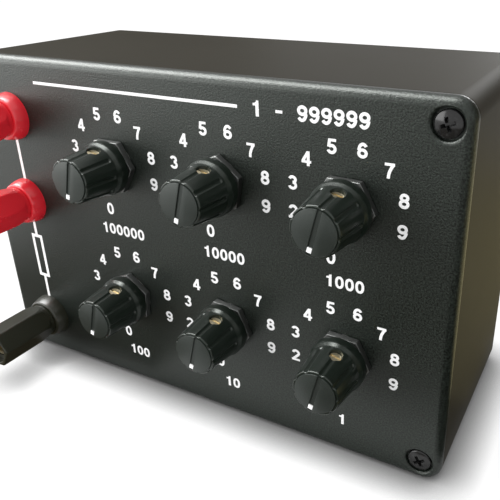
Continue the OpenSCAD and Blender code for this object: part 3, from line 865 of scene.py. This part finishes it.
def nut_shape():
    """Hexagon nut with slightly rounded edges. flat is half its width across the flats."""
    back, front, flat = 0.3, 2.1, 7.0
    corner = flat / math.cos(math.radians(30))
    bm = bmesh.new()
    bmesh.ops.create_cone(
        bm, cap_ends=True, segments=6, radius1=corner, radius2=corner, depth=front - back,
        matrix=Matrix.Translation((0, 0, (front + back) / 2)) @ Matrix.Rotation(math.radians(30), 4, "Z"))
    soften(bm, [e for e in bm.edges if abs(e.verts[0].co.z - e.verts[1].co.z) > 0.5], 0.2, 3)
    soften(bm, [e for e in bm.edges if min(v.co.z for v in e.verts) > front - 1e-4], 0.18, 3)
    hole = bmesh.new()
    drill(hole, (0, 0), BUSH_HOLE, back - OVERRUN, front + OVERRUN, 64)
    return carved(bm, hole)


class DECADEBOX_OT_switch_nuts(bpy.types.Operator):
    """Plated nuts on the switches, under the knobs"""

    bl_idname = "decade_box.switch_nuts"
    bl_label = "Switch nuts"

    def execute(self, context):
        one = to_mesh("nut", nut_shape())
        bm = bmesh.new()
        for decade, turn in zip(DECADES, NUT_TURNS):
            place = Matrix.Translation(on_panel("knob_" + decade).to_3d())
            stamp(bm, one, place @ Matrix.Rotation(math.radians(turn), 4, "Z"))
        bpy.data.meshes.remove(one)
        finished("hexagon_nuts", bm, "plated_steel", "box", ["switch_nuts"], None, 20.0, "nut_plating")
        return {"FINISHED"}


# Terminal posts


class DECADEBOX_OT_posts(bpy.types.Operator):
    """Collars and screw caps of the terminal posts"""

    bl_idname = "decade_box.posts"
    bl_label = "Terminal posts"

    def execute(self, context):
        count = shapes().post_flats
        turn = math.radians(shapes().post_turn)
        stud, spigot, belt, belt_top, brim, brim_top = 3.04, 4.0, 7.0, 1.4, 6.2, 4.0
        grip, flat, front, edge = 6.1, 5.4, 23.6, 0.4
        sleeve, sleeve_end, plug, dish, floor = 4.29, 12.25, 3.3, 4.7, 21.4
        neck, back, shoulder = 5.3, 4.2, 5.3
        inside = [(dish, front), (dish, floor), (plug, floor), (plug, sleeve_end), (sleeve, sleeve_end)]
        foot = [(sleeve, back), (neck, back), (neck, shoulder)]
        dome = [(5.45, shoulder), (5.85, 6.4), (grip, 8.5), (grip, 14.0), (grip, front)]
        for post in POSTS:
            slot = "post_black" if post == "low" else "post_red"
            at = on_panel("post_collar_" + post).to_3d()
            collar = spun([
                (stud, LID_BACK), (spigot, LID_BACK), (spigot, 0), (belt + 0.1, 0), (belt, belt_top),
                (brim, brim_top), (stud, brim_top)], 128, closed=True)
            soften_ring(collar, brim, brim_top, 0.5, 4)
            soften_ring(collar, belt, belt_top, 0.8, 4)
            finished("collar_" + post, collar, slot, "box", ["post_collar_" + post], at)
            cap = spun(foot + dome + inside, 60 * count, {3: 8, 4: 18, 5: 5, 6: 5}, closed=True)
            soften_ring(cap, grip, front, edge, 4)
            soften_ring(cap, dish, front, 0.2, 3)
            flatten(cap, count, turn, flat, grip, dish + 0.25, front - edge - 1e-3)
            skin = [v for v in cap.verts if v.co.xy.length > dish + 0.35 and v.co.z > shoulder + 0.2]
            for _ in range(2):
                relax(cap, skin)
            finished("screw_cap_" + post, cap, slot, "cap_" + post, ["post_cap_" + post], at, 40.0)
        return {"FINISHED"}


# Printing


GLYPH_WIDTH = 0.62
GLYPH_STRETCH = 1.14
GLYPH_PITCH = 0.71 * GLYPH_STRETCH


def arc(x, y, across, up, start, end, square=2.0):
    """Points of an oval arc between two angles in degrees. square over 2 fills out its shoulders."""
    count = max(8, round(abs(end - start) / 9))
    points = []
    for n in range(count + 1):
        turn = math.radians(start + (end - start) * n / count)
        c, t = math.cos(turn), math.sin(turn)
        points.append((
            x + across * math.copysign(abs(c) ** (2 / square), c),
            y + up * math.copysign(abs(t) ** (2 / square), t)))
    return points


def strokes_of(sign):
    """Middle lines and plain outlines of one sign that is 1 high."""
    hook = arc(0.33, 0.5, 0.235, 0.405, 180, 38)
    bowl = arc(0.31, 0.315, 0.215, 0.22, 0, 360)
    return {
        "0": ([arc(0.31, 0.5, 0.215, 0.405, 0, 360, 2.3)], []),
        "1": ([], [[(0.26, 0), (0.46, 0), (0.46, 1), (0.32, 1), (0.28, 0.9), (0.21, 0.84), (0.09, 0.82),
                    (0.09, 0.68), (0.26, 0.68)]]),
        "2": ([arc(0.31, 0.69, 0.215, 0.215, 172, -38) + [(0.14, 0.16)]],
              [[(0, 0), (0.61, 0), (0.61, 0.18), (0, 0.18)]]),
        "3": ([arc(0.3, 0.715, 0.195, 0.19, 165, -88), arc(0.3, 0.31, 0.215, 0.215, 88, -165)], []),
        "4": ([[(0.43, 0), (0.43, 1)], [(0.07, 0.31), (0.4, 0.93)]],
              [[(0, 0.2), (0.62, 0.2), (0.62, 0.37), (0, 0.37)]]),
        "5": ([[(0.17, 0.92), (0.12, 0.46)], arc(0.3, 0.325, 0.215, 0.23, 142, -165)],
              [[(0.09, 0.82), (0.57, 0.82), (0.57, 1), (0.09, 1)]]),
        "6": ([bowl, hook], []),
        "7": ([[(0.52, 0.9), (0.42, 0.72), (0.33, 0.5), (0.27, 0.25), (0.25, 0)]],
              [[(0.02, 0.82), (0.6, 0.82), (0.6, 1), (0.02, 1)]]),
        "8": ([arc(0.31, 0.715, 0.185, 0.19, 0, 360), arc(0.31, 0.31, 0.215, 0.215, 0, 360)], []),
        "9": ([[(GLYPH_WIDTH - x, 1 - y) for x, y in line] for line in (bowl, hook)], []),
        "-": ([], [[(0.1, 0.36), (0.52, 0.36), (0.52, 0.54), (0.1, 0.54)]]),
    }[sign]


_signs = {}


def sign_of(sign):
    """Mesh of one sign that is 1 high and 1 thick, its strokes grown into one."""
    if sign not in _signs:
        bm = bmesh.new()
        lines, outlines = strokes_of(sign)
        wide = Matrix.Diagonal((GLYPH_STRETCH, 1.0))
        for line in lines:
            ribbon(bm, [wide @ Vector(q) for q in line], shapes().digit_weight)
        for outline in outlines:
            bm.faces.new([bm.verts.new((*(wide @ Vector(q)), 0)) for q in outline])
        bmesh.ops.recalc_face_normals(bm, faces=bm.faces)
        pull(bm, bm.faces[:], 1)
        bmesh.ops.recalc_face_normals(bm, faces=bm.faces)
        # A cut that takes nothing away still joins the strokes
        far_off = bmesh.new()
        block(far_off, (9, 9, 9), (1, 1, 1))
        _signs[sign] = to_mesh("sign", carved(bm, far_off))
    return _signs[sign]


def print_text(bm, text, height, x, y):
    """Adds signs in printed ink, the middle of the text at a place on the panel. Gives back its width."""
    width = (GLYPH_PITCH * (len(text) - 1) + GLYPH_WIDTH * GLYPH_STRETCH) * height
    size = Matrix.Diagonal((height, height, shapes().ink_height, 1))
    for n, sign in enumerate(text):
        if sign != " ":
            start = x - width / 2 + n * GLYPH_PITCH * height
            stamp(bm, sign_of(sign), Matrix.Translation((start, y - height / 2, 0)) @ size)
    return width


def ribbon(bm, points, width):
    """Flat band along a line. A line that ends where it starts makes a ring."""
    ring = (points[0] - points[-1]).length < 1e-6
    points = points[:-1] if ring else points
    count = len(points)
    rows = []
    for n, point in enumerate(points):
        before = points[n - 1] if ring or n > 0 else point
        after = points[(n + 1) % count] if ring or n < count - 1 else point
        along = (after - before).normalized()
        side = Vector((-along.y, along.x)) * (width / 2)
        rows.append([bm.verts.new((*(point + side * k), 0)) for k in (1, -1)])
    for n in range(count if ring else count - 1):
        (a, b), (c, d) = rows[n], rows[(n + 1) % count]
        bm.faces.new((a, b, d, c))


def inked(name, bm):
    """Lays print on the lid."""
    finished(name, bm, "lid_plastic", "box", material="screen_print")


class DECADEBOX_OT_dials(bpy.types.Operator):
    """Printed numbers around each knob and the plain number below it"""

    bl_idname = "decade_box.dials"
    bl_label = "Dials"

    def execute(self, context):
        s = shapes()
        factor_height, factor_drop = 3.3, 20.1
        for decade, factor in zip(DECADES, ("100000", "10000", "1000", "100", "10", "1")):
            point = on_panel("knob_" + decade)
            bm = bmesh.new()
            for n in range(POSITIONS):
                spot = point + clock_point(s.first_angle + n * s.step_angle, s.digit_ring)
                print_text(bm, str(n), s.digit_height, spot.x, spot.y)
            print_text(bm, factor, factor_height, point.x, point.y - factor_drop)
            inked("numbers_" + decade, bm)
        return {"FINISHED"}


class DECADEBOX_OT_lines(bpy.types.Operator):
    """Printed circuit line between the posts, with its resistor sign, and the rule along the top"""

    bl_idname = "decade_box.lines"
    bl_label = "Printed lines"

    def execute(self, context):
        x = on_panel("post_collar_mid").x
        bm = bmesh.new()

        def stroke(x0, y0, x1, y1):
            ink = shapes().ink_height
            block(bm, ((x0 + x1) / 2, (y0 + y1) / 2, ink / 2), (x1 - x0, y1 - y0, ink))

        half, line, low, high = 1.8, 0.52, 28.8, 44.0
        over_mid, under_high, under_mid, over_low = 62.9, 75.5, 48.8, 21.3
        for start, end in ((over_mid, under_high), (high, under_mid), (over_low, low)):
            stroke(x - line, start, x + line, end)
        for side in (-1, 1):
            stroke(x + side * half - line, low, x + side * half + line, high)
        for y in (low, high - 2 * line):
            stroke(x - half + line, y, x + half - line, y + 2 * line)
        inked("circuit_line", bm)

        bm = bmesh.new()
        middle, level, rule_start, rule_gap, rule_half = 39.0, 93.2, -48.0, 4.0, 0.4
        width = print_text(bm, "1 - 999999", 3.7, middle, level)
        stroke(rule_start, level - rule_half, middle - width / 2 - rule_gap, level + rule_half)
        inked("range_line", bm)
        return {"FINISHED"}


# Carried-over solids


class DECADEBOX_OT_hardware(bpy.types.Operator):
    """Finishes of the solids that stay as they are: studs, screws, switches, resistors and wires"""

    bl_idname = "decade_box.hardware"
    bl_label = "Hardware"

    def execute(self, context):
        slots = {p["node"]: p["material_slot"] for p in frame["record"]["subparts"]}
        for node, obj in frame["nodes"].items():
            if not obj.hide_render:
                obj.data.materials.clear()
                obj.data.materials.append(finish_of(slots[node]))
        return {"FINISHED"}


# Stage


TABLE_BROWN = (0.09, 0.07, 0.045, 1)
SHADE = (0.03, 0.03, 0.02, 1)
CREAM = (0.95, 0.83, 0.44, 1)


class DECADEBOX_OT_stage(bpy.types.Operator):
    """Pale floor, soft light and the camera"""

    bl_idname = "decade_box.stage"
    bl_label = "Stage"

    def execute(self, context):
        scene = context.scene
        s = stage_settings()
        bm = bmesh.new()
        bmesh.ops.create_grid(bm, x_segments=1, y_segments=1, size=4.0)
        floor = added("floor", to_mesh("floor", bm))
        floor.data.materials.append(self.paper())
        self.surroundings(scene, s.sky)
        # Lights, each with its place, its target, its size, its power and the way its long side points
        slant = (0.57, -0.08, 0.39)
        self.lamp("window", (-0.45, -0.13, 0.72), (0, -0.03, 0.1), (0.7, 0.2), s.window, slant)
        self.lamp("fill", (-0.8, -0.65, 0.2), (0, -0.03, 0.06), (1.0, 0.8), s.fill, (0.63, -0.77, 0))
        self.lamp("gloss", (-0.37, -0.125, 0.7), (0, -0.03, 0.1), (0.85, 0.4), s.gloss, slant, True)
        self.lamp("back", (0.04, 1.1, 0.36), (0.05, 0, 0.1), (0.3, 0.2), s.back, (1, 0, 0), True)
        # Cards, each with its middle and two sides
        self.flag("flag_front", (0.25, -0.15, 0.002), (0.6, 0, 0), (0.175, 0.18, 0))
        self.flag("flag_foot", (-0.08, -0.068, 0.002), (0.12, 0, 0), (0, 0.064, 0))
        self.flag("flag_edge", (0.33, -0.06, 0.003), (0.5, 0, 0), (0, 0.12, 0), SHADE)
        self.flag("flag_right", (0.33, 0.125, 0.002), (0.5, 0, 0), (0, 0.25, 0), CREAM)
        self.flag("flag_side", (0.5, 0.325, 0.35), (0.5, -0.85, 0), (0, 0, 0.7))
        self.flag("flag_back", (-0.53, 0.375, 0.19), (0.345, 0.47, 0), (0, 0, 0.38))
        data = bpy.data.cameras.new("camera")
        data.sensor_fit = "HORIZONTAL"
        data.sensor_width = 36.0
        data.lens = s.lens
        data.shift_x, data.shift_y = s.shift
        data.clip_start = 0.01
        camera = added("camera", data)
        camera.location = s.place
        camera.rotation_euler = s.aim
        scene.camera = camera
        scene.view_settings.view_transform = "Standard"
        return {"FINISHED"}

    def paper(self):
        """White sheet that reads as white, with its real shadow in the diffuse part and a painted contact
        shadow in its glow.
        """
        finish = Finish("paper")
        # Painted contact shadow: ambient occlusion darkens the floor's glow next to the object, on top of the
        # real shadow in the diffuse part.
        painted_contact_shadow = finish.add("ShaderNodeAmbientOcclusion", {"samples": 16}, {"Distance": 0.011}, "AO")
        tone = finish.blend(self.seen(finish), (0.65, 0.65, 0.65, 1), (0.2, 0.2, 0.2, 1))
        sheet = finish.add("ShaderNodeBsdfDiffuse", {}, {"Color": tone})
        glow = finish.add(
            "ShaderNodeEmission", {},
            {"Color": (1, 1, 1, 1), "Strength": self.seen(finish) * 0.88 * painted_contact_shadow * painted_contact_shadow * painted_contact_shadow})
        return finish.close(finish.add("ShaderNodeAddShader", {}, {0: sheet, 1: glow}))

    def surroundings(self, scene, level):
        """Even light, with white behind the object for the camera and for reflections."""
        world = bpy.data.worlds.new("surroundings")
        world.use_nodes = True
        scene.world = world
        finish = Finish("surroundings", world.node_tree)
        light = finish.add(
            "ShaderNodeBackground", {},
            {"Color": (1, 1, 1, 1), "Strength": self.seen(finish) * (1.0 - level) + level})
        finish.add("ShaderNodeOutputWorld", {}, {"Surface": light})

    def seen(self, finish):
        """1 where the camera looks, also by way of a reflection or through glass, and 0 elsewhere."""
        paths = [finish.add("ShaderNodeLightPath", {}, {}, name)
                 for name in ("Is Camera Ray", "Is Glossy Ray", "Is Transmission Ray")]
        return finish.add("ShaderNodeClamp", {}, {"Value": paths[0] + paths[1] + paths[2]})

    def flag(self, name, middle, along, up, tone=TABLE_BROWN):
        """Card that only reflections see, like a table top or a wall beside the white sheet."""
        along, up = Vector(along), Vector(up)
        turn = Matrix((along, up, along.cross(up).normalized())).transposed()
        bm = bmesh.new()
        bmesh.ops.create_grid(
            bm, x_segments=1, y_segments=1, size=0.5, matrix=Matrix.Translation(middle) @ turn.to_4x4())
        card = added(name, to_mesh(name, bm))
        finish = Finish(name)
        shade = finish.add("ShaderNodeBsdfDiffuse", {}, {"Color": tone})
        card.data.materials.append(finish.close(shade))
        card.visible_camera = card.visible_diffuse = card.visible_shadow = False

    def lamp(self, name, place, target, size, power, along, gloss_only=False):
        """Oblong soft light, its long side towards a direction. gloss_only leaves it to the highlights."""
        data = bpy.data.lights.new(name, "AREA")
        data.shape = "RECTANGLE"
        data.size, data.size_y = size
        data.energy = power
        lamp = added(name, data)
        away = (Vector(place) - Vector(target)).normalized()
        along = Vector(along)
        along = (along - away * along.dot(away)).normalized()
        turn = Matrix((along, away.cross(along), away)).transposed()
        lamp.matrix_world = Matrix.Translation(place) @ turn.to_4x4()
        lamp.visible_camera = False
        lamp.visible_diffuse = not gloss_only


class DECADEBOX_PT_panel(bpy.types.Panel):
    """Steps of the decade box, in the order in which they run"""

    bl_idname = "DECADEBOX_PT_panel"
    bl_label = "Decade box"
    bl_space_type = "VIEW_3D"
    bl_region_type = "UI"
    bl_category = "Decade box"

    def draw(self, context):
        layout = self.layout
        for group in (shapes(), colours(), stage_settings()):
            box = layout.box()
            for key in group.__annotations__:
                box.prop(group, key)
        for step in STEPS:
            layout.operator(step.bl_idname)


STEPS = (
    DECADEBOX_OT_case,
    DECADEBOX_OT_lid,
    DECADEBOX_OT_lid_screws,
    DECADEBOX_OT_switch_nuts,
    DECADEBOX_OT_knobs,
    DECADEBOX_OT_knob_caps,
    DECADEBOX_OT_posts,
    DECADEBOX_OT_dials,
    DECADEBOX_OT_lines,
    DECADEBOX_OT_hardware,
    DECADEBOX_OT_stage,
)
GROUPS = {
    "decade_box_shapes": DecadeBoxShapes,
    "decade_box_colours": DecadeBoxColours,
    "decade_box_stage": DecadeBoxStage,
}


def register():
    for cls in (*GROUPS.values(), *STEPS, DECADEBOX_PT_panel):
        bpy.utils.register_class(cls)
    for name, cls in GROUPS.items():
        setattr(bpy.types.Scene, name, bpy.props.PointerProperty(type=cls))


def unregister():
    for name in GROUPS:
        delattr(bpy.types.Scene, name)
    for cls in reversed((*GROUPS.values(), *STEPS, DECADEBOX_PT_panel)):
        bpy.utils.unregister_class(cls)


def main():
    register()
    for step in STEPS:
        group, name = step.bl_idname.split(".")
        getattr(getattr(bpy.ops, group), name)()


if __name__ == "__main__":
    main()
